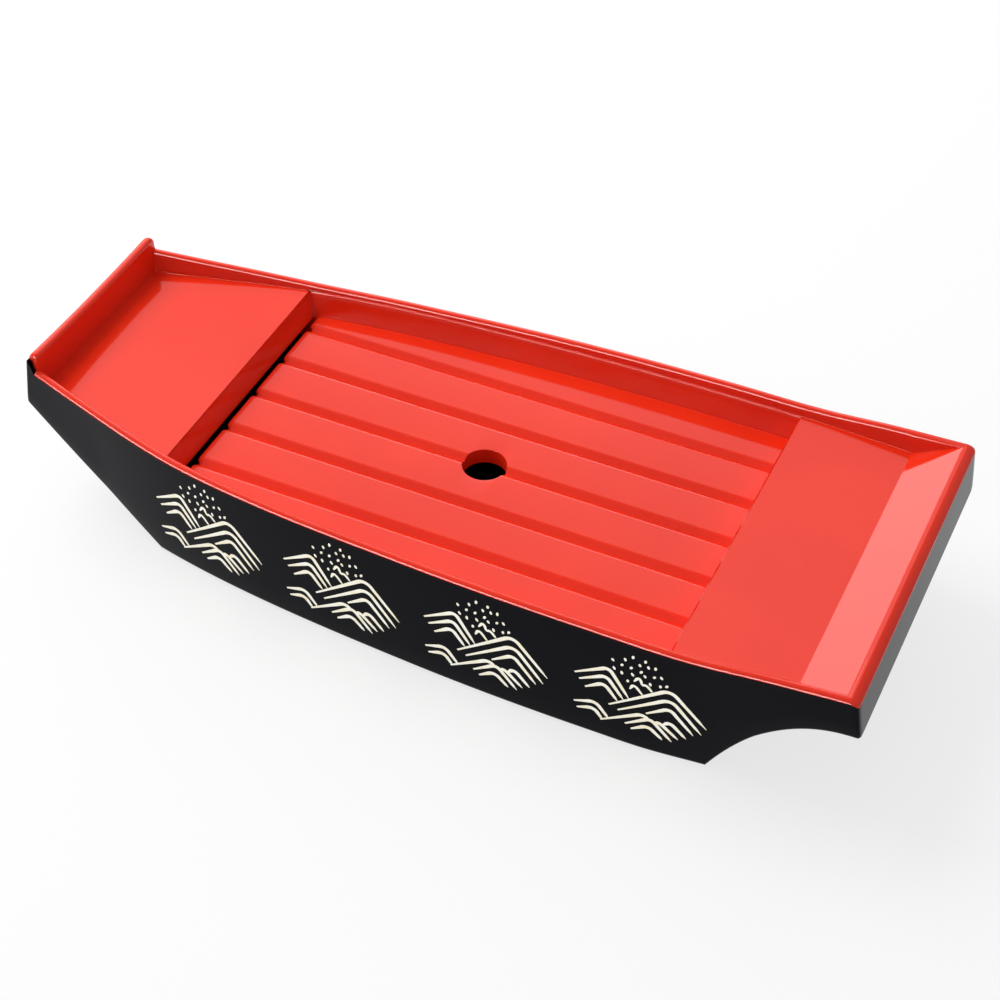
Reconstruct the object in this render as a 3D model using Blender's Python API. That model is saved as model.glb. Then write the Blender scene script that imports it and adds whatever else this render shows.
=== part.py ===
"""A lacquered serving boat: a black hull, a vermilion deck tray and a slatted deck that lifts out.

Lengths are in millimetres until loft() turns them into metres. x runs aft along the rim from the bow (0)
to the stern (LENGTH), y across the boat and z up from the flat of the bottom. The ends stand square to the
rising rim, so they lean: raked() moves points there. The finished boat is centred on x = 0.
"""

import math

import bmesh
import bpy
import numpy as np
from mathutils import Matrix, Vector

MM = 0.001
GAP = 0.35
OVERRUN = 5.0
STEP = 10.0
FINE_STEP = 7.0
SLIVER = 0.1
ROLL_STEP = 1.8

# Lines of the boat: (distance aft of the bow, value)
LENGTH = 600.0
RIM_HALF_WIDTH = ((0, 75.5), (123, 104), (302, 121.5), (481, 125), (600, 122))
RIM_HEIGHT = ((0, 111.5), (60, 105), (124, 99.5), (200, 98.5), (300, 100), (430, 101.5),
              (500, 102.5), (545, 107), (600, 111))
FLARE = ((0, 0.06), (430, 0.055), (470, 0.062), (512, 0.095), (600, 0.1))

# Lean of the ends, which fades out over the length given
BOW_LEAN = 0.2
STERN_LEAN = 0.12
LEAN_REACH = 60.0

# Bottom line: a straight rake under the bow, a flat, then an arch under the stern deck
BOW_FOOT = 76.0
RAKE_END = 104.0
ARCH_START = 511.0
ARCH_CROWN = 597.0
ARCH_HEIGHT = 76.0
ARCH_POWER = 2.2

# Hull shell
WALL = 3.0
BOW_WALL = 4.0
BILGE_RADIUS = 5.0
BILGE_POINTS = 4
LIP = 2.2
LIP_ROUND = 1.4
LIP_POINTS = 4
STERN_ROUND = 5.0

# Bow board, which stands between the hull's two cheeks
BOARD_TOP = 122.5
BOARD_DIP = 2.0
BOARD_THICKNESS = 7.5
BOARD_FOOT = 12.0
CHEEK = 3.2
CHEEK_TOP = 120.5
CHEEK_BULGE = 1.5
CHEEK_STEP = 1.5
BOARD_SEAT = 116.0
BOARD_BITE = 3.0
BOARD_STATIONS = 13
BOARD_POINTS = 7

# Decks, and the walls that slope from the rim down to them
RIM_WIDTH = 6.0
RIM_EASE = 1.2
WALL_SLOPE = 0.23
DECK = 95.0
DECK_UNDER = 91.0
TRANSOM_FOOT = 560.5
TRANSOM_SLOPE = 23.5 / 14.0
OPEN_TOP = 130.0

# Well between the decks, with a ledge along its sides and stern that carries the slatted deck
WELL_BOW = 128.0
WELL_STERN = 483.0
WELL_SHELF = 0.8
WELL_SLOPE = 0.35
BOW_STEP = 5.5
SLAT_TOP = 79.5
LEDGE_TOP = 67.5
LEDGE_WIDTH = 8.0
LEDGE_CLEAR = 0.6
LEDGE_UNDER = 64.0
WELL_WALL = 3.0
WELL_BOW_WALL = 12.0

# Slatted deck: grooves between the slats, which end in notches, and a finger hole
SLAT_FIT = 0.4
SLAT_BOW_GAP = 1.8
SLAT_PITCH = 38.5
GROOVES = 5
GROOVE_WIDTH = 9.0
GROOVE_DEPTH = 3.2
NOTCH_WIDTH = 17.0
NOTCH_DEPTH = 8.0
NOTCH_LENGTH = 6.0
SLAT_CHAMFER = 2.0
SLAT_END_CHAMFER = 5.0
SLAT_UNDER = 74.0
SKIRT = 3.0
FINGER_HOLE = 30.0
HOLE_SIDES = 40
BRIDGE = 42.0

BLACK = (0.011, 0.011, 0.013)
VERMILION = (0.62, 0.016, 0.010)
GLOSS = 0.12
CREASE = math.radians(30)


def fair(x, pegs):
    """A smooth line through the pegs, as a bent batten makes it."""
    places, values = np.array(pegs, float).T
    slopes = np.gradient(values, places)
    i = int(np.clip(np.searchsorted(places, x) - 1, 0, len(places) - 2))
    span = places[i + 1] - places[i]
    t = (x - places[i]) / span
    start = (1 + 2 * t) * values[i] + t * span * slopes[i]
    end = (3 - 2 * t) * values[i + 1] - (1 - t) * span * slopes[i + 1]
    return float((1 - t) ** 2 * start + t ** 2 * end)


def rim_top(x):
    """Top of the rim, rolled over at the stern."""
    past = max(x - (LENGTH - STERN_ROUND), 0.0)
    return fair(x, RIM_HEIGHT) - STERN_ROUND + math.sqrt(STERN_ROUND ** 2 - past ** 2)


def hull_top(x):
    """Upper edge of the hull's side, under the lip; the bow cheeks rise from it to the board's top."""
    rise = 1 - min(x / BOARD_THICKNESS, 1.0) ** CHEEK_BULGE
    return rim_top(x) - LIP + (CHEEK_TOP - rim_top(x) + LIP) * rise


def floor(x, wall=0.0):
    """Height of the bottom, or of the inside of a bottom of this thickness; the rake is straight as it leans."""
    lean = BOW_LEAN * max(1 - x / LEAN_REACH, 0.0)
    rake_slope = BOW_FOOT / (RAKE_END - raked(0, BOW_FOOT))
    rake = rake_slope * (RAKE_END - x + lean * RIM_HEIGHT[0][1]) / (1 + rake_slope * lean)
    reach = (ARCH_CROWN - x) / (ARCH_CROWN - ARCH_START)
    arch = ARCH_HEIGHT * (1 - max(reach, 0.0) ** ARCH_POWER)
    arch_slope = ARCH_POWER * ARCH_HEIGHT / (ARCH_CROWN - ARCH_START) * max(reach, 0.0) ** (ARCH_POWER - 1)
    return max(rake + wall * math.hypot(1, rake_slope), wall, arch + wall * math.hypot(1, arch_slope))


def raked(x, z):
    """Where a point lies along the boat once the ends lean."""
    bow = BOW_LEAN * (RIM_HEIGHT[0][1] - z) * max(1 - x / LEAN_REACH, 0.0)
    stern = STERN_LEAN * (RIM_HEIGHT[-1][1] - z) * max(1 - (LENGTH - x) / LEAN_REACH, 0.0)
    return x - bow + stern


def middle():
    """Half way between the foremost and the aftmost edge."""
    return (raked(0, BOW_FOOT) + raked(LENGTH, ARCH_HEIGHT)) / 2


def side(x, z):
    """Half width of the hull outside."""
    return fair(x, RIM_HALF_WIDTH) - fair(x, FLARE) * (fair(x, RIM_HEIGHT) - z)


def inner_side(x, z):
    """Half width inside the rim, down to the decks."""
    return fair(x, RIM_HALF_WIDTH) - RIM_WIDTH - WALL_SLOPE * (fair(x, RIM_HEIGHT) - z)


def well_side(x, z):
    """Half width of the well, below the decks."""
    return inner_side(x, DECK) - WELL_SHELF - WELL_SLOPE * (DECK - z)


def mirrored(points):
    """A whole section from its far half, listed from the top down."""
    return points + [(x, -y, z) for x, y, z in reversed(points)]


def loft(name, sections, collection):
    """A closed solid through sections with the same number of points."""
    bm = bmesh.new()
    rings = [[bm.verts.new(((raked(x, z) - middle()) * MM, y * MM, z * MM)) for x, y, z in points]
             for points in sections]
    for ring, following in zip(rings, rings[1:]):
        for i in range(len(ring)):
            bm.faces.new((ring[i - 1], ring[i], following[i], following[i - 1]))
    bm.faces.new(rings[0])
    bm.faces.new(rings[-1])
    bmesh.ops.recalc_face_normals(bm, faces=bm.faces)
    mesh = bpy.data.meshes.new(name)
    bm.to_mesh(mesh)
    bm.free()
    obj = bpy.data.objects.new(name, mesh)
    collection.objects.link(obj)
    return obj


def helper(obj):
    obj.hide_render = True
    obj.display_type = "WIRE"
    return obj


def boolean(obj, other, operation):
    modifier = obj.modifiers.new(other.name, "BOOLEAN")
    modifier.operation = operation
    modifier.solver = "EXACT"
    modifier.object = helper(other)


def lacquer(name, colour):
    material = bpy.data.materials.new(name)
    material.use_nodes = True
    shader = material.node_tree.nodes["Principled BSDF"]
    shader.inputs["Base Color"].default_value = (*colour, 1)
    shader.inputs["Roughness"].default_value = GLOSS
    shader.inputs["Metallic"].default_value = 0.0
    return material


def finish(obj, material):
    obj.data.materials.append(material)
    obj.data.shade_smooth()
    obj.data.set_sharp_from_angle(angle=CREASE)


def stations(start, end, step=STEP):
    """Even places from start to end."""
    return list(np.linspace(start, end, max(2, round((end - start) / step) + 1)))


def hull_section(x, top, wall=0.0):
    bottom = floor(x, wall)
    radius = BILGE_RADIUS - wall
    half = side(x, bottom) - wall
    bilge = [(x, half - radius + radius * math.cos(a), bottom + radius - radius * math.sin(a))
             for a in np.linspace(0, math.pi / 2, BILGE_POINTS)]
    return mirrored([(x, side(x, top) - wall, top)] + bilge)


def make_hull(parts, cutters):
    cheek_end = BOARD_THICKNESS + SLIVER
    roll_start = LENGTH - STERN_ROUND
    places = (stations(0, BOARD_THICKNESS, CHEEK_STEP) + stations(cheek_end, RAKE_END, FINE_STEP)
              + stations(RAKE_END, ARCH_START)[1:] + stations(ARCH_START, roll_start, FINE_STEP)[1:]
              + stations(roll_start, LENGTH, ROLL_STEP)[1:])
    hull = loft("hull", [hull_section(x, hull_top(x)) for x in places], parts)
    inside = (stations(BOW_WALL, RAKE_END, FINE_STEP) + stations(RAKE_END, ARCH_START)[1:]
              + stations(ARCH_START, LENGTH - WALL, FINE_STEP)[1:])
    hollow = [hull_section(x, OPEN_TOP, WALL) for x in inside]
    boolean(hull, loft("hull_inside", hollow, cutters), "DIFFERENCE")
    seat = [mirrored([(x, side(x, z) - CHEEK, z) for z in (OPEN_TOP, BOARD_SEAT)])
            for x in (-OVERRUN, BOW_WALL + GAP)]
    boolean(hull, loft("board_seat", seat, cutters), "DIFFERENCE")
    return hull


def tray_plug():
    """The part of the tray that goes down inside the hull."""
    inset = WALL + GAP
    places = (stations(BOW_WALL + LIP, LENGTH - STERN_ROUND)
              + stations(LENGTH - STERN_ROUND, LENGTH - inset, ROLL_STEP)[1:])
    return [mirrored([(x, side(x, z) - inset, z) for z in (rim_top(x) - LIP / 2, DECK_UNDER)])
            for x in places]


def tray_lid():
    """The lip that lies on the hull's upper edge, round outside, and rolls over the stern."""
    places = (stations(BOARD_THICKNESS + GAP, LENGTH - STERN_ROUND)
              + stations(LENGTH - STERN_ROUND, LENGTH, ROLL_STEP)[1:])
    sections = []
    for x in places:
        top = rim_top(x)
        outline = [(x, side(x, top) - LIP_ROUND * (1 - math.sin(a)), top - LIP_ROUND * (1 - math.cos(a)))
                   for a in np.linspace(0, math.pi / 2, LIP_POINTS)]
        under = top - LIP + GAP
        sections.append(mirrored(outline + [(x, side(x, under), under)]))
    return sections


def deck_space():
    """The room above the decks, from the bow board to the slanted transom, eased at the rim."""
    ends = [(BOARD_THICKNESS - BOARD_BITE, BOARD_FOOT - BOARD_BITE)]
    ends += [(x, x) for x in stations(BOARD_FOOT + GAP, TRANSOM_FOOT - GAP)]
    ends.append((TRANSOM_FOOT + TRANSOM_SLOPE * (OPEN_TOP - DECK), TRANSOM_FOOT))
    sections = []
    for high, low in ends:
        slant = (high - low) / (OPEN_TOP - DECK)
        rim = rim_top(low + slant * (rim_top(low) - DECK))
        half = []
        for z, ease in ((OPEN_TOP, RIM_EASE * 2), (rim, RIM_EASE), (rim - RIM_EASE, RIM_EASE / 4),
                        (rim - RIM_EASE * 2, 0.0), (DECK, 0.0)):
            x = low + slant * (z - DECK)
            half.append((x, inner_side(min(x, LENGTH), min(z, rim)) + ease, z))
        sections.append(mirrored(half))
    return sections


def well_space():
    """The well, with a slanted step down from the bow deck and a plain wall at the stern deck."""
    over = DECK + GAP
    sections = []
    for i, x in enumerate(stations(WELL_BOW, WELL_STERN)):
        forward = BOW_STEP * (over - SLAT_TOP) / (DECK - SLAT_TOP) if i == 0 else 0.0
        sections.append(mirrored([(x - forward, well_side(x, over), over),
                                  (x, well_side(x, SLAT_TOP), SLAT_TOP),
                                  (x, well_side(x, LEDGE_TOP), LEDGE_TOP)]))
    return sections


def well_sections(start, end, widen, top, bottom):
    """A block with the well's plan and slope, wider or narrower all along."""
    return [mirrored([(x, well_side(x, z) + widen, z) for z in (top, bottom)]) for x in stations(start, end)]


def bow_board():
    """The board across the bow, lofted from side to side, with a round top that dips in the middle."""
    radius = BOARD_THICKNESS / 2
    front = BOW_WALL + GAP
    seat = BOARD_SEAT + GAP
    foot = (DECK_UNDER + DECK) / 2
    sections = []
    for across in np.linspace(-1, 1, BOARD_STATIONS):
        top = BOARD_TOP - BOARD_DIP * (1 - across ** 2)
        outline = [(front, foot), (front, seat), (0, seat)]
        outline += [(radius - radius * math.cos(a), top - radius + radius * math.sin(a))
                    for a in np.linspace(0, math.pi, BOARD_POINTS)]
        outline.append((BOARD_FOOT, foot))
        sections.append([(x, across * (side(x, z) - CHEEK - GAP), z) for x, z in outline])
    return sections


def make_tray(parts, cutters):
    tray = loft("deck_tray", tray_plug(), parts)
    boolean(tray, loft("tray_lid", tray_lid(), cutters), "UNION")
    block = well_sections(WELL_BOW - WELL_BOW_WALL, WELL_STERN + WELL_WALL, WELL_WALL,
                          (DECK + DECK_UNDER) / 2, LEDGE_UNDER)
    boolean(tray, loft("well_block", block, cutters), "UNION")
    boolean(tray, loft("deck_space", deck_space(), cutters), "DIFFERENCE")
    boolean(tray, loft("well_space", well_space(), cutters), "DIFFERENCE")
    drain = well_sections(WELL_BOW - LEDGE_CLEAR, WELL_STERN - LEDGE_WIDTH, -LEDGE_WIDTH,
                          LEDGE_TOP + OVERRUN, LEDGE_UNDER - OVERRUN)
    boolean(tray, loft("ledge_opening", drain, cutters), "DIFFERENCE")
    boolean(tray, loft("bow_board", bow_board(), cutters), "UNION")
    return tray


def slat_board():
    """The slatted deck's outline, which follows the well, with a chamfer round its top."""
    start = WELL_BOW + SLAT_BOW_GAP
    end = WELL_STERN - SLAT_FIT
    shoulder = SLAT_TOP - SLAT_CHAMFER
    bottom = LEDGE_TOP + GAP
    sections = []
    for x in stations(start, end):
        top_x = float(np.clip(x, start + SLAT_END_CHAMFER, end - SLAT_CHAMFER))
        sections.append(mirrored([(top_x, well_side(x, SLAT_TOP) - SLAT_FIT - SLAT_CHAMFER, SLAT_TOP),
                                  (x, well_side(x, shoulder) - SLAT_FIT, shoulder),
                                  (x, well_side(x, bottom) - SLAT_FIT, bottom)]))
    return sections


def groove(y):
    """A V between two slats, which opens into a notch at the bow end."""
    sections = []
    for x, width, depth in ((WELL_BOW - OVERRUN, NOTCH_WIDTH, NOTCH_DEPTH),
                            (WELL_BOW + NOTCH_LENGTH, GROOVE_WIDTH, GROOVE_DEPTH),
                            (WELL_STERN + OVERRUN, GROOVE_WIDTH, GROOVE_DEPTH)):
        sections.append([(x, y - width, SLAT_TOP + depth), (x, y + width, SLAT_TOP + depth),
                         (x, y, SLAT_TOP - depth)])
    return sections


def set_origin(obj, point):
    """Moves the object's origin, not its shape."""
    obj.data.transform(Matrix.Translation(-point))
    obj.location = point


def make_slatted_deck(parts, cutters):
    deck = loft("slatted_deck", slat_board(), parts)
    hole_x = (WELL_BOW + WELL_STERN) / 2
    for name, start, end in (("bow_pocket", WELL_BOW + SLAT_BOW_GAP + SKIRT, hole_x - BRIDGE / 2),
                             ("stern_pocket", hole_x + BRIDGE / 2, WELL_STERN - SLAT_FIT - SKIRT)):
        pocket = well_sections(start, end, -SLAT_FIT - SKIRT, SLAT_UNDER, LEDGE_TOP - OVERRUN)
        boolean(deck, loft(name, pocket, cutters), "DIFFERENCE")
    for number in range(GROOVES):
        y = (number - (GROOVES - 1) / 2) * SLAT_PITCH
        boolean(deck, loft(f"groove_{number + 1}", groove(y), cutters), "DIFFERENCE")
    lift_axis = Vector(((hole_x - middle()) * MM, 0, SLAT_TOP * MM))
    bpy.ops.mesh.primitive_cylinder_add(
        vertices=HOLE_SIDES, radius=FINGER_HOLE / 2 * MM, depth=FINGER_HOLE * MM, location=lift_axis)
    hole = bpy.context.object
    hole.name = "finger_hole"
    bpy.context.collection.objects.unlink(hole)
    cutters.objects.link(hole)
    boolean(deck, hole, "DIFFERENCE")
    set_origin(deck, lift_axis)
    return deck


def main():
    for obj in list(bpy.data.objects):
        bpy.data.objects.remove(obj)
    parts = bpy.data.collections.new("serving_boat")
    cutters = bpy.data.collections.new("cutters")
    for collection in (parts, cutters):
        bpy.context.scene.collection.children.link(collection)
    black = lacquer("black_lacquer", BLACK)
    vermilion = lacquer("vermilion_lacquer", VERMILION)
    finish(make_hull(parts, cutters), black)
    finish(make_tray(parts, cutters), vermilion)
    finish(make_slatted_deck(parts, cutters), vermilion)


main()
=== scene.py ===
"""A lacquered serving boat: black hull with gold waves, vermilion decks and a slatted deck that lifts out.

The lines of the boat are in millimetres, x aft along the rim from the bow, y across, z up from the bottom.
to_boat() leans the ends and gives the place in the frame, in metres.
"""

import math

import bpy
import numpy as np
from mathutils import Matrix, Vector


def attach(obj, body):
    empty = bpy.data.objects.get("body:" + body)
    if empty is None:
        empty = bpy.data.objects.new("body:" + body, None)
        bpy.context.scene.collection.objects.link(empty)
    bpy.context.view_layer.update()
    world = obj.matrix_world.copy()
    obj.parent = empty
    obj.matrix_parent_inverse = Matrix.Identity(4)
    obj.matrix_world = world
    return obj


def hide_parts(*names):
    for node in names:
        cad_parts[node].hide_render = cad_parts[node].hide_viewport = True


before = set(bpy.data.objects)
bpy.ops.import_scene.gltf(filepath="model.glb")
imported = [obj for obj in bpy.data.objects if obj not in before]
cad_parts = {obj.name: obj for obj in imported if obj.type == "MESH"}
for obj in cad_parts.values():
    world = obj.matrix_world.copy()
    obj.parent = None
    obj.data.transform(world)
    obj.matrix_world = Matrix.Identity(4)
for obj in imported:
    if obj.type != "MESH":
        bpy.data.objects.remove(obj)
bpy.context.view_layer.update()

MM = 0.001
WELD = 0.001 * MM
SMOOTH_ANGLE = math.radians(28)

# Clearance between pieces, and small allowances for the tools that shape them
FIT = 0.35
SLIVER = 0.05
HAIR = 0.02
SUNK = 2.0
OVERRUN = 4.0

# Lines of the boat: (distance aft of the bow, value)
LENGTH = 600.0
RIM_HALF_WIDTH = ((0, 75.5), (123, 104), (302, 121.5), (481, 125), (600, 122))
RIM_HEIGHT = ((0, 111.5), (60, 105), (124, 99.5), (200, 98.5), (300, 100), (430, 101.5),
              (500, 102.5), (545, 107), (600, 111))
FLARE = ((0, 0.06), (430, 0.055), (470, 0.062), (512, 0.095), (600, 0.1))
BOW_LEAN = 0.2
STERN_LEAN = 0.12
LEAN_REACH = 60.0

# Bottom: a straight rake under the bow, a flat, and an arch under the stern deck
BOW_FOOT = 76.0
RAKE_END = 104.0
ARCH_START = 511.0
ARCH_CROWN = 597.0
ARCH_HEIGHT = 76.0
ARCH_POWER = 2.2

# Hull wall and its rounded edges
WALL = 3.0
BOW_WALL = 4.0
BILGE = 4.0
BILGE_INSIDE = 2.0
END_INSET = 0.97
BOW_EDGE = 1.6
STERN_EDGE = 2.2
STERN_RADIUS = 9.0
STERN_TURN = math.radians(58)
STERN_ROLL = STERN_RADIUS * math.sin(STERN_TURN)

# Lip over the hull's side; its crowned edge as (in from the side, down from the top)
LIP = 2.2
STERN_LIP = 1.0
LIP_EDGE = ((3.2, 0.0), (2.5, 0.1), (1.9, 0.28), (1.35, 0.55), (0.9, 0.85),
            (0.5, 1.18), (0.15, 1.55), (0.03, 1.76), (0.0, 1.8))

# Bow board and the cheeks at its ends
BOARD_TOP = 122.5
BOARD_DIP = 2.0
BOARD_THICKNESS = 7.5
BOARD_FOOT = 12.0
BOARD_FOOT_SPREAD = 0.3
BOARD_CORNER = 3.0
CHEEK = 3.2
CHEEK_TOP = 118.8
CHEEK_BULGE = 1.5
BOARD_SEAT = 116.0

# Rim, decks and the slanted transom
RIM_WIDTH = 6.0
RIM_ROUND = 2.6
RIM_STEPS = 8
EDGE_TURN = math.radians(80)
WALL_SLOPE = 0.23
DECK = 95.0
DECK_UNDER = 91.0
DECK_FILLET = 0.25
TRANSOM_FOOT = 560.5
TRANSOM_SLOPE = 2.13
TRANSOM_ROLL = 2.0
OPEN_TOP = 130.0

# Well, and the ledge along its sides and stern
WELL_BOW = 128.0
WELL_STERN = 483.0
WELL_SHELF = 0.8
WELL_SLOPE = 0.35
BOW_STEP = 5.5
STEP_ROUND = 1.8
DECK_EDGE = 0.7
BEVEL_LENGTH = 1.2
BEVEL_DEPTH = 0.5
SLAT_TOP = 79.5
LEDGE_TOP = 67.5
LEDGE_WIDTH = 8.0
LEDGE_CLEAR = 0.6
LEDGE_UNDER = 64.0
WELL_WALL = 3.0
WELL_BOW_WALL = 12.0
BOW_OPENING_MARGIN = 1.0
BOW_OPENING_TOP = 78.0

# Slatted deck
SLAT_FIT = 0.4
SLAT_BOW_GAP = 1.8
SLAT_PITCH = 38.5
GROOVES = 5
GROOVE_WIDTH = 9.0
GROOVE_DEPTH = 3.2
GROOVE_SOFT = 0.3
GROOVE_STEPS = (0.0, 0.12, 0.35, 0.6, 0.7, 0.85, 1.0, 1.15, 1.3)
SLAT_ROUND = 2.0
SLAT_END = 5.0
SLAT_UNDER = 74.0
SKIRT = 3.0
FINGER_HOLE = 30.0
HOLE_EDGE = 0.6
BRIDGE = 42.0
NOTCH = 2.8
NOTCH_AHEAD = 0.2

# Gold waves: places along the side, and the weight of the strokes and dots
WAVE_PLACES = (154.0, 259.0, 364.0, 468.5)
WAVE_HEIGHT = 51.0
STROKE = 1.5
SMALL_STROKE = 12.0
SMALL_WEIGHT = 0.7
LONG_STROKE = 50.0
LONG_SHOULDER = 7.0
SHORT_SHOULDER = 4.5
DOT_RADIUS = 1.15
PRINT_FLAT = 0.09

# One motif's strokes as start, shoulder and tip, from its middle
CREST_STROKES = (
    ((-43.5, 5.5), (-21, 20.5), (-7.5, -3)),
    ((-40.5, 0.5), (-22.5, 12), (-11, -6)),
    ((-36.5, -5.5), (-24, 4), (-15, -9)),
    ((-20.5, -15), (19, 18), (42.5, -11)),
    ((-14.5, -17.5), (19.5, 9), (39.5, -18)),
    ((4, -12), (19, -0.5), (34.5, -21)),
    ((-44, -23), (-29.5, -17), (-20.5, -29.5)),
    ((-42, -28.5), (-30.5, -23.5), (-25, -32)),
    ((-26, -33), (1.5, -14), (7, -18.5)),
    ((-9.5, -28.5), (7, -16), (21, -33.5)),
    ((-5.5, -32), (5.5, -24), (15, -34)),
    ((10, -19.5), (12.5, -17), (25, -29.5)),
    ((15, -18.5), (19.5, -14), (30, -26.5)),
    ((-7, 7), (-4.5, 13), (1.5, 4.5)),
    ((-4.5, 15.5), (-1, 21.5), (1, 14)),
    ((1, 14), (3.5, 16), (7.5, 10.5)),
)
SPRAY_DOTS = (
    (-18.5, 29.5), (-10.5, 33.5), (-5.5, 38), (-12.5, 27.5), (-17.5, 22), (-12.5, 20), (-8.5, 14),
    (-6.5, 27.5), (-5.5, 21.5), (-1, 32.5), (2.5, 37.5), (0, 26.5), (2.5, 23.5), (4.5, 33),
    (9, 34), (8.5, 25.5), (13, 27), (6, 17.5), (12.5, 18.5), (16.5, 20.5),
)

# Studio, in metres: each lamp's place, aim, width, height and watts, and if it lights colour and shine
AIR_LIGHT = 0.38
PAPER = 0.92
PAPER_GLOW = 0.75
PAPER_SIZE = 14.0
PAPER_UNDER = 0.0005
LAMPS = (
    ("back_softbox", (-0.75, 1.75, 1.9), (0.0, 0.0, 0.08), 3.0, 1.6, 12.0, True, True),
    ("low_softbox", (-1.4, 1.9, 1.08), (0.28, 0.0, 0.1), 2.6, 0.6, 13.0, True, True),
    ("bow_softbox", (-1.6, 0.3, 2.0), (0.0, 0.0, 0.08), 1.6, 1.6, 50.0, True, False),
    ("edge_strip", (-0.5, -1.9, 1.65), (0.0, 0.0, 0.08), 3.2, 0.7, 100.0, False, True),
)
CAMERA_PLACE = (0.44917, -0.91818, 1.02473)
CAMERA_TURN = math.radians(25.14)
CAMERA_DIP = math.radians(43.81)
CAMERA_LENS = 75.6
CAMERA_SENSOR = 36.0


def fair(x, pegs):
    """A smooth line through the pegs, as a bent batten makes it."""
    places, values = np.array(pegs, float).T
    slopes = np.gradient(values, places)
    i = int(np.clip(np.searchsorted(places, x) - 1, 0, len(places) - 2))
    span = places[i + 1] - places[i]
    t = (x - places[i]) / span
    start = (1 + 2 * t) * values[i] + t * span * slopes[i]
    end = (3 - 2 * t) * values[i + 1] - (1 - t) * span * slopes[i + 1]
    return float((1 - t) ** 2 * start + t ** 2 * end)


def quarter(radius, into):
    """How far a rounded edge has drawn in, this far into its radius."""
    return radius - math.sqrt(radius ** 2 - min(max(into, 0.0), radius) ** 2)


def rim_top(x):
    """Height of the rim, which rolls over at the stern."""
    into = min(max(x - (LENGTH - STERN_ROLL), 0.0), STERN_ROLL)
    return fair(x, RIM_HEIGHT) - STERN_RADIUS + math.sqrt(STERN_RADIUS ** 2 - into ** 2)


def lip(x):
    """Thickness of the lip, which thins as it rolls over the stern."""
    return LIP - (LIP - STERN_LIP) * min(max((x - LENGTH) / STERN_ROLL + 1, 0.0), 1.0)


def corner(x):
    """How far the sides draw in at the rounded corners of the two ends."""
    return quarter(BOW_EDGE, BOW_EDGE - x) + quarter(STERN_EDGE, x - (LENGTH - STERN_EDGE))


def hull_top(x):
    """Upper edge of the hull's side, under the lip; the bow cheeks rise from it to the board's top."""
    rise = 1 - min(x / BOARD_THICKNESS, 1.0) ** CHEEK_BULGE
    low = rim_top(x) - lip(x)
    return low + (CHEEK_TOP - low) * rise - quarter(BOW_EDGE, BOW_EDGE - x)


def floor(x, wall=0.0):
    """Height of the bottom, or of its inside at this thickness; the rake is straight once it leans."""
    lean = BOW_LEAN * max(1 - x / LEAN_REACH, 0.0)
    rake_slope = BOW_FOOT / (RAKE_END - raked(0, BOW_FOOT))
    rake = rake_slope * (RAKE_END - x + lean * RIM_HEIGHT[0][1]) / (1 + rake_slope * lean)
    rake += wall * math.hypot(1, rake_slope)
    reach = max((ARCH_CROWN - x) / (ARCH_CROWN - ARCH_START), 0.0)
    slope = ARCH_POWER * ARCH_HEIGHT / (ARCH_CROWN - ARCH_START) * reach ** (ARCH_POWER - 1)
    arch = ARCH_HEIGHT * (1 - reach ** ARCH_POWER) + wall * math.hypot(1, slope)
    return max(rake, wall, arch)


def raked(x, z):
    """Where a point lies along the boat once the ends lean."""
    bow = BOW_LEAN * (RIM_HEIGHT[0][1] - z) * max(1 - x / LEAN_REACH, 0.0)
    stern = STERN_LEAN * (RIM_HEIGHT[-1][1] - z) * max(1 - (LENGTH - x) / LEAN_REACH, 0.0)
    return x - bow + stern


MIDDLE = (raked(0, BOW_FOOT) + raked(LENGTH, ARCH_HEIGHT)) / 2


def to_boat(x, y, z):
    """The place in the frame of a point on the boat's lines."""
    return ((raked(x, z) - MIDDLE) * MM, y * MM, z * MM)


def side(x, z):
    """Half width of the hull outside."""
    return fair(x, RIM_HALF_WIDTH) - fair(x, FLARE) * (fair(x, RIM_HEIGHT) - z)


def inner_side(x, z):
    """Half width inside the rim, down to the decks."""
    return fair(x, RIM_HALF_WIDTH) - RIM_WIDTH - WALL_SLOPE * (fair(x, RIM_HEIGHT) - z)


def well_side(x, z):
    """Half width of the well, below the decks."""
    return inner_side(x, DECK) - WELL_SHELF - WELL_SLOPE * (DECK - z)


def stations(start, end, step=5.0):
    """Places along the boat, about a step apart, both ends included."""
    return list(np.linspace(start, end, max(2, round((end - start) / step) + 1)))


def mirrored(points):
    """A whole section from its far half, listed from the top down."""
    return points + [(x, -y, z) for x, y, z in reversed(points)]


# Bench tools

def take(piece):
    """Makes this the one selected piece."""
    bpy.ops.object.select_all(action="DESELECT")
    piece.select_set(True)
    bpy.context.view_layer.objects.active = piece


def clear_choice(mesh):
    """Leaves no corner, edge or face of a mesh selected."""
    for group in (mesh.vertices, mesh.edges, mesh.polygons):
        group.foreach_set("select", [False] * len(group))


def skin(name, sections):
    """A closed skin over sections of as many points each: a grid is laid on them, joined and capped."""
    bpy.ops.object.select_all(action="DESELECT")
    around = len(sections[0])
    bpy.ops.mesh.primitive_grid_add(x_subdivisions=around, y_subdivisions=len(sections) - 1)
    piece = bpy.context.object
    piece.name = piece.data.name = name
    points = [to_boat(*section[i % around]) for section in sections for i in range(around + 1)]
    for vertex, point in zip(piece.data.vertices, points):
        vertex.co = point
    bpy.ops.object.mode_set(mode="EDIT")
    bpy.ops.mesh.select_all(action="SELECT")
    bpy.ops.mesh.remove_doubles(threshold=WELD)
    bpy.ops.mesh.fill_holes(sides=0)
    bpy.ops.mesh.normals_make_consistent(inside=False)
    bpy.ops.object.mode_set(mode="OBJECT")
    return piece


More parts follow.
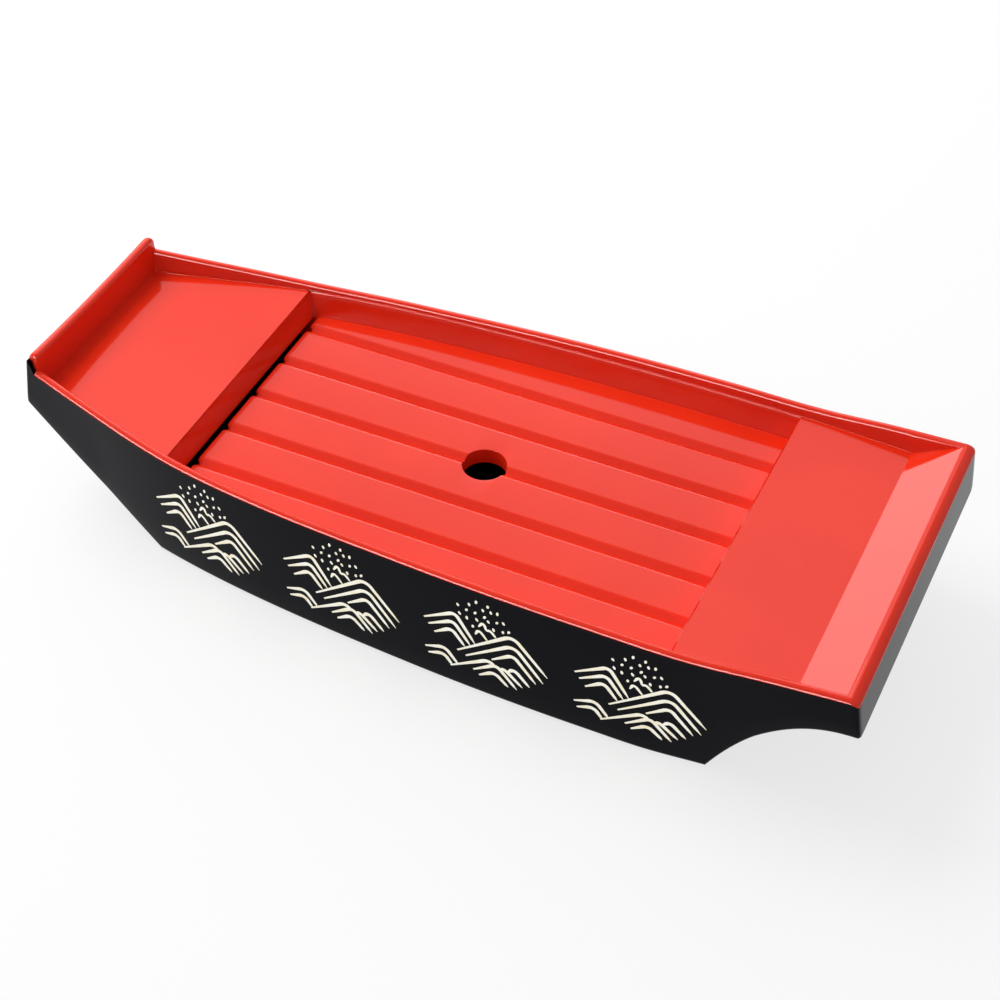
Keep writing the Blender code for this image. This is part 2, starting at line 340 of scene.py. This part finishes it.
def shape_with(piece, tool, operation="DIFFERENCE"):
    """Cuts a tool out of a piece, or joins it on, and puts the tool away."""
    take(piece)
    step = piece.modifiers.new("shape", "BOOLEAN")
    step.operation = operation
    step.solver = "EXACT"
    step.object = tool
    bpy.ops.object.modifier_apply(modifier=step.name)
    bpy.data.objects.remove(tool)


def dissolve_at(piece, place):
    """Takes a spare corner out of a straight edge."""
    take(piece)
    clear_choice(piece.data)
    for vertex in piece.data.vertices:
        vertex.select = (vertex.co - Vector(place)).length < HAIR * MM
    bpy.ops.object.mode_set(mode="EDIT")
    bpy.ops.mesh.select_mode(type="VERT")
    bpy.ops.mesh.dissolve_verts()
    bpy.ops.object.mode_set(mode="OBJECT")


def soften(piece, chosen, width, segments):
    """Rounds the edges that are chosen by their two ends and the angle between their faces."""
    take(piece)
    mesh = piece.data
    facing = {}
    for polygon in mesh.polygons:
        for key in polygon.edge_keys:
            facing.setdefault(key, []).append(polygon.normal.copy())
    clear_choice(mesh)
    for edge in mesh.edges:
        normals = facing.get(edge.key, [])
        bend = normals[0].angle(normals[1], 0.0) if len(normals) == 2 else 0.0
        ends = [mesh.vertices[i].co / MM for i in edge.vertices]
        edge.select = chosen(ends[0], ends[1], bend)
    bpy.ops.object.mode_set(mode="EDIT")
    bpy.ops.mesh.select_mode(type="EDGE")
    bpy.ops.mesh.bevel(offset=width * MM, segments=segments, affect="EDGES", clamp_overlap=True)
    bpy.ops.object.mode_set(mode="OBJECT")


def hang_on(piece, body, finish):
    """Smooths and lacquers a finished piece and sets it on its body."""
    take(piece)
    bpy.ops.object.shade_smooth_by_angle(angle=SMOOTH_ANGLE)
    piece.data.materials.clear()
    piece.data.materials.append(finish)
    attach(piece, body)


# Finishes

def lacquer(name, colour, deeper, gloss, clear_coat, facing_shine):
    """Moulded plastic under sprayed lacquer: a faint drift of colour, flow marks and orange peel."""
    finish = bpy.data.materials.new(name)
    finish.use_nodes = True
    nodes, links = finish.node_tree.nodes, finish.node_tree.links
    shader = nodes["Principled BSDF"]
    shader.inputs["IOR"].default_value = clear_coat
    shader.inputs["Specular Tint"].default_value = (facing_shine, facing_shine, facing_shine, 1)
    shader.inputs["Metallic"].default_value = 0.0
    place = nodes.new("ShaderNodeTexCoord").outputs["Object"]

    def cloud(scale, detail):
        """Soft noise that stays with the piece."""
        noise = nodes.new("ShaderNodeTexNoise")
        noise.inputs["Scale"].default_value = scale
        noise.inputs["Detail"].default_value = detail
        links.new(place, noise.inputs["Vector"])
        return noise.outputs["Fac"]

    drift = nodes.new("ShaderNodeValToRGB")
    drift.color_ramp.elements[0].position = 0.35
    drift.color_ramp.elements[1].position = 0.65
    drift.color_ramp.elements[0].color = (*deeper, 1)
    drift.color_ramp.elements[1].color = (*colour, 1)
    links.new(cloud(scale=9.0, detail=2.0), drift.inputs["Fac"])
    links.new(drift.outputs["Color"], shader.inputs["Base Color"])

    haze = nodes.new("ShaderNodeMapRange")
    haze.inputs["To Min"].default_value = gloss
    haze.inputs["To Max"].default_value = gloss * 1.7
    links.new(cloud(scale=26.0, detail=5.0), haze.inputs["Value"])
    links.new(haze.outputs["Result"], shader.inputs["Roughness"])

    flow = nodes.new("ShaderNodeBump")
    flow.inputs["Strength"].default_value = 0.04
    flow.inputs["Distance"].default_value = 0.0015
    links.new(cloud(scale=22.0, detail=1.0), flow.inputs["Height"])
    peel = nodes.new("ShaderNodeBump")
    peel.inputs["Strength"].default_value = 0.025
    peel.inputs["Distance"].default_value = 0.0002
    links.new(cloud(scale=700.0, detail=2.0), peel.inputs["Height"])
    links.new(flow.outputs["Normal"], peel.inputs["Normal"])
    links.new(peel.outputs["Normal"], shader.inputs["Normal"])
    return finish


def gold_ink(name):
    """Gold print: bright metal flake, a little thinner and warmer in places."""
    finish = bpy.data.materials.new(name)
    finish.use_nodes = True
    nodes, links = finish.node_tree.nodes, finish.node_tree.links
    shader = nodes["Principled BSDF"]
    shader.inputs["Metallic"].default_value = 1.0
    place = nodes.new("ShaderNodeTexCoord").outputs["Object"]
    patches = nodes.new("ShaderNodeTexNoise")
    patches.inputs["Scale"].default_value = 120.0
    patches.inputs["Detail"].default_value = 4.0
    links.new(place, patches.inputs["Vector"])
    tone = nodes.new("ShaderNodeValToRGB")
    tone.color_ramp.elements[0].position = 0.3
    tone.color_ramp.elements[1].position = 0.62
    tone.color_ramp.elements[0].color = (0.96, 0.87, 0.64, 1)
    tone.color_ramp.elements[1].color = (1.0, 0.98, 0.88, 1)
    links.new(patches.outputs["Fac"], tone.inputs["Fac"])
    links.new(tone.outputs["Color"], shader.inputs["Base Color"])
    flake = nodes.new("ShaderNodeTexVoronoi")
    flake.inputs["Scale"].default_value = 2600.0
    links.new(place, flake.inputs["Vector"])
    grain = nodes.new("ShaderNodeMapRange")
    grain.inputs["To Min"].default_value = 0.22
    grain.inputs["To Max"].default_value = 0.42
    links.new(flake.outputs["Distance"], grain.inputs["Value"])
    links.new(grain.outputs["Result"], shader.inputs["Roughness"])
    return finish


black = lacquer("black_lacquer", colour=(0.0014, 0.0016, 0.0050), deeper=(0.0010, 0.0012, 0.0036),
                gloss=0.07, clear_coat=1.14, facing_shine=0.3)
vermilion = lacquer("vermilion_lacquer", colour=(0.89, 0.0300, 0.0075), deeper=(0.82, 0.0255, 0.0065),
                    gloss=0.06, clear_coat=1.48, facing_shine=1.0)
gold = gold_ink("gold_ink")


# Hull

def hull_section(x, top, wall=0.0):
    """A section of the hull outside, or of its inside at this wall thickness."""
    drawn_in = wall if wall else corner(x)
    bottom = floor(x, wall) + (0.0 if wall else corner(x))
    radius = BILGE_INSIDE if wall else BILGE
    half = side(x, bottom) - drawn_in
    bilge = [(x, half - radius + radius * math.cos(a), bottom + radius - radius * math.sin(a))
             for a in np.linspace(0, math.pi / 2, 7)]
    start = bottom + radius
    flank = [(x, side(x, z) - drawn_in, z) for z in np.linspace(top, start, 7)[:-1]]
    return mirrored(flank + bilge)


def flat_inside(section):
    """A slightly smaller outline in the same plane, which keeps an end face flat up to its edge."""
    middle = (section[0][2] + min(z for x, y, z in section)) / 2
    return [(x, y * END_INSET, middle + (z - middle) * END_INSET) for x, y, z in section]


def make_hull():
    """The black hull, hollowed out, with a seat for the bow board between its cheeks."""
    edge = LENGTH - STERN_ROLL
    places = (stations(0, BOW_EDGE, 0.4) + stations(BOW_EDGE, BOARD_THICKNESS, 0.6)[1:]
              + stations(BOARD_THICKNESS + SLIVER, RAKE_END) + stations(RAKE_END, ARCH_START)[1:]
              + stations(ARCH_START, edge, 3)[1:] + stations(edge, LENGTH - STERN_EDGE, 0.7)[1:]
              + stations(LENGTH - STERN_EDGE, LENGTH, 0.3)[1:])
    sections = [hull_section(x, hull_top(x)) for x in places]
    hull = skin("hull_lacquered", sections + [flat_inside(sections[-1])])
    inside = (stations(BOW_WALL, RAKE_END) + stations(RAKE_END, ARCH_START)[1:]
              + stations(ARCH_START, LENGTH - WALL, 3)[1:])
    shape_with(hull, skin("hollow", [hull_section(x, OPEN_TOP, WALL) for x in inside]))
    seat = [mirrored([(x, side(x, z) - CHEEK, z) for z in (OPEN_TOP, BOARD_SEAT)])
            for x in (-WALL, BOW_WALL + FIT)]
    shape_with(hull, skin("seat", seat))
    hang_on(hull, "boat", black)
    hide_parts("hull")


# Deck tray

def tray_section(x):
    """The tray before its decks are sunk: a lip with a round edge over a plug inside the hull."""
    top = rim_top(x)
    under = top - lip(x) + FIT
    thin = min(1.0, (top - under - SLIVER) / LIP_EDGE[-1][1])
    lip_edge = [(x, side(x, top) - corner(x) - reach, top - drop * thin) for reach, drop in LIP_EDGE]
    inset = WALL + FIT + corner(x)
    plug = [(x, side(x, under) - corner(x), under), (x, side(x, under) - inset, under),
            (x, side(x, DECK_UNDER) - inset, DECK_UNDER)]
    return mirrored(lip_edge + plug)


def deck_room():
    """The room above the decks, with a rounded rim, a fillet at the deck and a slanted transom."""
    ends = [(BOARD_THICKNESS - WALL, BOARD_FOOT - WALL)]
    ends += [(x, x) for x in stations(BOARD_FOOT + FIT, TRANSOM_FOOT - FIT)]
    ends.append((TRANSOM_FOOT + TRANSOM_SLOPE * (OPEN_TOP - DECK), TRANSOM_FOOT))
    sections = []
    for high, low in ends:
        slant = (high - low) / (OPEN_TOP - DECK)
        rim = rim_top(min(low + slant * (rim_top(low) - DECK), LENGTH))
        turns = np.linspace(EDGE_TURN, 0, RIM_STEPS)
        rows = [(OPEN_TOP, RIM_ROUND + 1.0)]
        rows += [(rim - RIM_ROUND * (1 - math.sin(a)), RIM_ROUND * (1 - math.cos(a))) for a in turns]
        rows += [(z, 0.0) for z in np.linspace(rim - RIM_ROUND, DECK + DECK_FILLET, 4)[1:-1]]
        rows += [(DECK + DECK_FILLET * (1 - math.sin(a)), -DECK_FILLET * (1 - math.cos(a)))
                 for a in np.linspace(0, math.pi / 2, 6)]
        places = [(low + slant * (z - DECK), z) for z, widen in rows]
        if low == TRANSOM_FOOT:
            places[1:RIM_STEPS + 1] = transom_roll(rim)
        sections.append(mirrored([(x, inner_side(min(x, LENGTH), min(z, rim)) + widen, z)
                                  for (x, z), (height, widen) in zip(places, rows)]))
    return sections + [[(x, 0.0, z) for x, y, z in sections[-1]]]


def transom_roll(rim):
    """Where the slanted transom rolls over into the top of the stern, from the top down."""
    crown = Vector((TRANSOM_FOOT + TRANSOM_SLOPE * (rim - DECK), rim))
    above = Vector((crown.x + TRANSOM_ROLL, rim_top(crown.x + TRANSOM_ROLL) + HAIR))
    below = crown + Vector((-TRANSOM_SLOPE, -1.0)).normalized() * TRANSOM_ROLL
    line = []
    for t in np.linspace(0, 1, RIM_STEPS):
        point = above.lerp(crown, t).lerp(crown.lerp(below, t), t)
        line.append((point.x, point.y))
    return line


def well_room():
    """The well, with a slanted step at the bow deck and rounded edges at both decks."""
    sections = []
    places = stations(WELL_BOW, WELL_STERN)
    for x in places:
        edge = STEP_ROUND if x == places[0] else DECK_EDGE
        turns = np.linspace(EDGE_TURN, 0, 5)
        rows = [(DECK + 1.0, edge + 0.6)]
        rows += [(DECK - edge * (1 - math.sin(a)), edge * (1 - math.cos(a))) for a in turns]
        rows += [(z, 0.0) for z in (DECK - 5.0, SLAT_TOP, SLAT_UNDER, LEDGE_TOP)]
        half = []
        for z, ease in rows:
            along = x
            if x == places[0]:
                along -= BOW_STEP * max(z - SLAT_TOP, 0.0) / (DECK - SLAT_TOP) + ease
            elif x == places[-1]:
                along += BEVEL_LENGTH * max((z - DECK) / BEVEL_DEPTH + 1, 0.0)
            half.append((along, well_side(x, z) + min(ease, WELL_SHELF), z))
        sections.append(mirrored(half))
    return sections


def well_block(start, end, widen, top, bottom):
    """A block as wide as the well, or wider by this much on each side."""
    return [mirrored([(x, well_side(x, z) + widen, z) for z in (top, bottom)])
            for x in stations(start, end)]


def make_tray():
    """The vermilion tray: its decks and well are sunk into it, and the well's floor is opened."""
    edge = LENGTH - STERN_ROLL
    places = stations(BOARD_THICKNESS + FIT, edge) + stations(edge, LENGTH - HAIR, 0.5)[1:]
    tray = skin("deck_tray_lacquered", [tray_section(x) for x in places])
    front = WELL_BOW - WELL_BOW_WALL
    block = well_block(front, WELL_STERN + WELL_WALL, WELL_WALL, DECK - SUNK, LEDGE_UNDER)
    shape_with(tray, skin("well_block", block), "UNION")
    shape_with(tray, skin("deck_room", deck_room()))
    dissolve_at(tray, to_boat(TRANSOM_FOOT, 0.0, DECK))
    shape_with(tray, skin("well_room", well_room()))
    drain = well_block(WELL_BOW - LEDGE_CLEAR, WELL_STERN - LEDGE_WIDTH, -LEDGE_WIDTH,
                       LEDGE_TOP + OVERRUN, LEDGE_UNDER - OVERRUN)
    shape_with(tray, skin("ledge_opening", drain))
    behind = well_block(front - BOW_OPENING_MARGIN, WELL_BOW + BOW_OPENING_MARGIN, -BOW_OPENING_MARGIN,
                        BOW_OPENING_TOP, LEDGE_UNDER - OVERRUN)
    shape_with(tray, skin("open_behind_step", behind))
    hang_on(tray, "boat", vermilion)
    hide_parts("deck_tray")


def make_bow_board():
    """The board across the bow, with a round top that dips in the middle and rounded upper corners."""
    radius = BOARD_THICKNESS / 2
    front = BOW_WALL + FIT
    seat = BOARD_SEAT + FIT
    end = side(0, BOARD_TOP) - CHEEK - FIT
    last = (end - BOARD_CORNER) / end
    spread = np.linspace(0, 1, 7)
    arc = [last + (1 - last) * math.sin(a * math.pi / 2) for a in spread[1:]]
    fractions = list(np.linspace(0, last, 16)) + arc
    sections = []
    for across in [-f for f in reversed(fractions[1:])] + fractions:
        drop = quarter(BOARD_CORNER, (abs(across) - last) * end)
        top = BOARD_TOP - BOARD_DIP * (1 - across ** 2) - drop
        outline = [(front, DECK - SUNK), (front, seat), (0.0, seat)]
        outline += [(radius - radius * math.cos(a), top - radius + radius * math.sin(a))
                    for a in np.linspace(0, math.pi, 17)]
        outline += [(BOARD_FOOT, DECK), (BOARD_FOOT + BOARD_FOOT_SPREAD, DECK - SUNK)]
        sections.append([(x, across * (side(x, z) - CHEEK - FIT), z) for x, z in outline])
    board = skin("bow_board", sections)
    hang_on(board, "boat", vermilion)


# Slatted deck

def slat_height(y):
    """Height of the slats' tops across the deck, with V grooves between them, soft at the shoulders."""
    nearest = round(y / SLAT_PITCH) * SLAT_PITCH
    t = abs(y - nearest) / (GROOVE_WIDTH / 2)
    if t >= 1 + GROOVE_SOFT:
        return SLAT_TOP
    if t < 1 - GROOVE_SOFT:
        return SLAT_TOP - GROOVE_DEPTH * (1 - t)
    return SLAT_TOP - GROOVE_DEPTH * (GROOVE_SOFT * ((1 + GROOVE_SOFT - t) / (2 * GROOVE_SOFT)) ** 2)


def slat_section(x, start, end):
    """A section of the slatted deck, whose edge follows the well."""
    into = max(1 - min(x - start, (end - x) * SLAT_END / SLAT_ROUND) / SLAT_END, 0.0)
    drop = SLAT_ROUND * (1 - math.sqrt(1 - into ** 2))
    half = well_side(x, SLAT_TOP) - SLAT_FIT
    outer = GROOVES // 2 * SLAT_PITCH + GROOVE_WIDTH * ((1 + GROOVE_SOFT) / 2)
    middles = [SLAT_PITCH * k for k in range(GROOVES // 2 + 1)]
    ys = sorted({m + s * t * GROOVE_WIDTH / 2 for m in middles for t in GROOVE_STEPS for s in (-1, 1)})
    ys = [y for y in ys if 0 <= y < outer]
    ys += [outer + (half - SLAT_ROUND - outer) * f for f in (0.0, 0.5, 1.0)]
    top = [(x, y, slat_height(y) - drop) for y in reversed(ys)]
    shoulder = [(x, half - SLAT_ROUND * (1 - math.cos(a)),
                 SLAT_TOP - SLAT_ROUND * (1 - math.sin(a)) - drop)
                for a in np.linspace(0, EDGE_TURN, 4)]
    bottom = LEDGE_TOP + FIT
    return mirrored([(x, half - WELL_SLOPE * (SLAT_TOP - bottom), bottom)] + shoulder + top)


def make_slatted_deck():
    """The lift-out deck: pocketed below, notched at the grooves' bow ends, with a round finger hole."""
    start = WELL_BOW + SLAT_BOW_GAP
    end = WELL_STERN - SLAT_FIT
    places = (stations(start, start + SLAT_END, 0.7) + stations(start + SLAT_END, end - SLAT_ROUND)[1:]
              + stations(end - SLAT_ROUND, end, 0.4)[1:])
    deck = skin("slatted_deck_lacquered", [slat_section(x, start, end) for x in places])
    hole_x = (WELL_BOW + WELL_STERN) / 2
    for first, last in ((start + SKIRT, hole_x - BRIDGE / 2), (hole_x + BRIDGE / 2, end - SKIRT)):
        pocket = well_block(first, last, -SLAT_FIT - SKIRT, SLAT_UNDER, LEDGE_TOP - WALL)
        shape_with(deck, skin("pocket", pocket))
    for number in range(GROOVES):
        bpy.ops.object.select_all(action="DESELECT")
        bpy.ops.mesh.primitive_cylinder_add(
            vertices=32, radius=NOTCH * MM, depth=FINGER_HOLE * MM,
            location=to_boat(start - NOTCH_AHEAD, (number - GROOVES // 2) * SLAT_PITCH, SLAT_TOP))
        shape_with(deck, bpy.context.object)
    bpy.ops.object.select_all(action="DESELECT")
    bpy.ops.mesh.primitive_cylinder_add(
        vertices=72, radius=FINGER_HOLE / 2 * MM, depth=FINGER_HOLE * MM,
        location=to_boat(hole_x, 0, SLAT_TOP))
    shape_with(deck, bpy.context.object)
    centre = Vector(to_boat(hole_x, 0, 0)) / MM

    def hole_edge(a, b, bend):
        """True for the edge around the hole's upper end."""
        on_wall = all(abs((p - centre).xy.length - FINGER_HOLE / 2) < 0.1 for p in (a, b))
        return on_wall and min(a.z, b.z) > SLAT_UNDER and abs(a.z - b.z) < 1.5 and bend > 0.5

    soften(deck, hole_edge, HOLE_EDGE, 3)
    hang_on(deck, "grate", vermilion)
    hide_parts("slatted_deck")


# Gold waves

def brush_stroke(points, shoulder):
    """One tapered stroke: it runs up to a rounded shoulder and down to a fine tip."""
    start, turn, tip = (Vector((s, 0.0, t)) * MM for s, t in points)
    bend = shoulder * MM
    before = turn + (start - turn).normalized() * min(bend, (start - turn).length * 0.5)
    after = turn + (tip - turn).normalized() * min(bend, (tip - turn).length * 0.5)
    bpy.ops.object.select_all(action="DESELECT")
    bpy.ops.curve.primitive_bezier_curve_add()
    stroke = bpy.context.object
    curve = stroke.data
    curve.dimensions = "3D"
    curve.resolution_u = 8
    curve.bevel_depth = STROKE * MM * (SMALL_WEIGHT if (tip - start).length < SMALL_STROKE * MM else 1.0)
    curve.bevel_resolution = 2
    curve.use_fill_caps = True
    spline = curve.splines[0]
    line = ((start, start, start.lerp(before, 0.33), 0.42),
            (before, start.lerp(before, 0.67), before.lerp(turn, 0.6), 1.0),
            (after, after.lerp(turn, 0.6), after.lerp(tip, 0.25), 0.95),
            (after.lerp(tip, 0.75), after.lerp(tip, 0.5), after.lerp(tip, 0.85), 0.72),
            (tip, after.lerp(tip, 0.9), tip, 0.18))
    spline.bezier_points.add(len(line) - len(spline.bezier_points))
    for point, (place, left, right, weight) in zip(spline.bezier_points, line):
        point.handle_left_type = point.handle_right_type = "FREE"
        point.co, point.handle_left, point.handle_right, point.radius = place, left, right, weight
    bpy.ops.object.convert(target="MESH")
    return bpy.context.object


def make_motif():
    """One wave motif, flat as it is printed, in the plane of the side."""
    parts = []
    for points in CREST_STROKES:
        is_long = points[2][0] - points[0][0] > LONG_STROKE
        parts.append(brush_stroke(points, LONG_SHOULDER if is_long else SHORT_SHOULDER))
    for number, (s, t) in enumerate(SPRAY_DOTS):
        bpy.ops.object.select_all(action="DESELECT")
        bpy.ops.mesh.primitive_uv_sphere_add(segments=12, ring_count=8, radius=DOT_RADIUS * MM,
                                             scale=(0.8, 1.0, 1.2 + 0.1 * (number % 3)),
                                             rotation=(0, math.radians(-25 + 17 * (number % 4)), 0),
                                             location=(s * MM, 0, t * MM))
        bpy.ops.object.transform_apply(location=True, rotation=True, scale=True)
        parts.append(bpy.context.object)
    bpy.ops.object.select_all(action="DESELECT")
    for part in parts:
        part.select_set(True)
    bpy.context.view_layer.objects.active = parts[0]
    bpy.ops.object.join()
    motif = bpy.context.object
    bpy.ops.object.transform_apply(location=True, rotation=True, scale=True)
    bpy.ops.object.mode_set(mode="EDIT")
    bpy.ops.mesh.select_all(action="SELECT")
    bpy.ops.mesh.remove_doubles(threshold=WELD)
    bpy.ops.transform.resize(value=(1, PRINT_FLAT, 1), center_override=(0, 0, 0))
    bpy.ops.object.mode_set(mode="OBJECT")
    return motif


def make_waves():
    """Lays the motif on both sides of the hull."""
    motif = make_motif()
    for label, hand in (("near", -1), ("far", 1)):
        for number, place in enumerate(WAVE_PLACES, 1):
            take(motif)
            bpy.ops.object.duplicate()
            wave = bpy.context.object
            wave.name = wave.data.name = f"gold_wave_{label}_{number}"
            for vertex in wave.data.vertices:
                x = place + vertex.co.x / MM
                z = WAVE_HEIGHT + vertex.co.z / MM
                vertex.co = to_boat(x, hand * (side(x, z) - vertex.co.y / MM), z)
            bpy.ops.object.mode_set(mode="EDIT")
            bpy.ops.mesh.select_all(action="SELECT")
            bpy.ops.mesh.normals_make_consistent(inside=False)
            bpy.ops.object.mode_set(mode="OBJECT")
            hang_on(wave, "boat", gold)
    bpy.data.objects.remove(motif)


# Studio

def seen_by_eye_or_mirror(tree):
    """1 for what the camera, a reflection or a clear pane sees, 0 for what lights the boat."""
    nodes, links = tree.nodes, tree.links
    path = nodes.new("ShaderNodeLightPath")
    first = nodes.new("ShaderNodeMath")
    first.operation = "MAXIMUM"
    links.new(path.outputs["Is Camera Ray"], first.inputs[0])
    links.new(path.outputs["Is Glossy Ray"], first.inputs[1])
    second = nodes.new("ShaderNodeMath")
    second.operation = "MAXIMUM"
    links.new(first.outputs[0], second.inputs[0])
    links.new(path.outputs["Is Transmission Ray"], second.inputs[1])
    return second.outputs[0]


def make_floor():
    """White paper below and behind the boat."""
    bpy.ops.object.select_all(action="DESELECT")
    bpy.ops.mesh.primitive_plane_add(size=PAPER_SIZE, location=(0, 0, -PAPER_UNDER))
    floor_sheet = bpy.context.object
    floor_sheet.name = "studio_floor"
    paper = bpy.data.materials.new("white_paper")
    paper.use_nodes = True
    nodes, links = paper.node_tree.nodes, paper.node_tree.links
    shader = nodes["Principled BSDF"]
    shader.inputs["Base Color"].default_value = (PAPER, PAPER, PAPER, 1)
    shader.inputs["Roughness"].default_value = 0.9
    glow = nodes.new("ShaderNodeEmission")
    share = nodes.new("ShaderNodeMath")
    share.operation = "MULTIPLY"
    share.inputs[1].default_value = PAPER_GLOW
    links.new(seen_by_eye_or_mirror(paper.node_tree), share.inputs[0])
    mix = nodes.new("ShaderNodeMixShader")
    links.new(share.outputs[0], mix.inputs[0])
    links.new(shader.outputs[0], mix.inputs[1])
    links.new(glow.outputs[0], mix.inputs[2])
    links.new(mix.outputs[0], nodes["Material Output"].inputs["Surface"])
    floor_sheet.data.materials.append(paper)


def make_light():
    """A white room with four soft lamps."""
    world = bpy.data.worlds.new("studio")
    bpy.context.scene.world = world
    world.use_nodes = True
    air = world.node_tree.nodes["Background"]
    air.inputs["Color"].default_value = (1.0, 1.0, 1.0, 1)
    air.inputs["Strength"].default_value = AIR_LIGHT
    for name, place, aim, width, height, watts, lights_colour, lights_shine in LAMPS:
        lamp = bpy.data.lights.new(name, "AREA")
        lamp.shape = "RECTANGLE"
        lamp.size, lamp.size_y, lamp.energy = width, height, watts
        stand = bpy.data.objects.new(name, lamp)
        stand.location = place
        stand.visible_diffuse, stand.visible_glossy = lights_colour, lights_shine
        stand.rotation_euler = (Vector(aim) - Vector(place)).to_track_quat("-Z", "Y").to_euler()
        bpy.context.scene.collection.objects.link(stand)


def make_camera():
    """The camera, turned from the boat's side and dipped towards it, with its picture upright."""
    turn, dip = CAMERA_TURN, CAMERA_DIP
    right = Vector((math.cos(turn), math.sin(turn), 0.0))
    ahead = Vector((-math.sin(turn) * math.cos(dip), math.cos(turn) * math.cos(dip), -math.sin(dip)))
    up = right.cross(ahead)
    lens = bpy.data.cameras.new("camera")
    lens.sensor_width = CAMERA_SENSOR
    lens.lens = CAMERA_LENS
    camera = bpy.data.objects.new("camera", lens)
    facing = Matrix((right, up, -ahead)).transposed().to_4x4()
    camera.matrix_world = Matrix.Translation(CAMERA_PLACE) @ facing
    bpy.context.scene.collection.objects.link(camera)
    bpy.context.scene.camera = camera


make_hull()
make_tray()
make_bow_board()
make_slatted_deck()
make_waves()
make_floor()
make_light()
make_camera()
bpy.context.scene.view_settings.view_transform = "Standard"
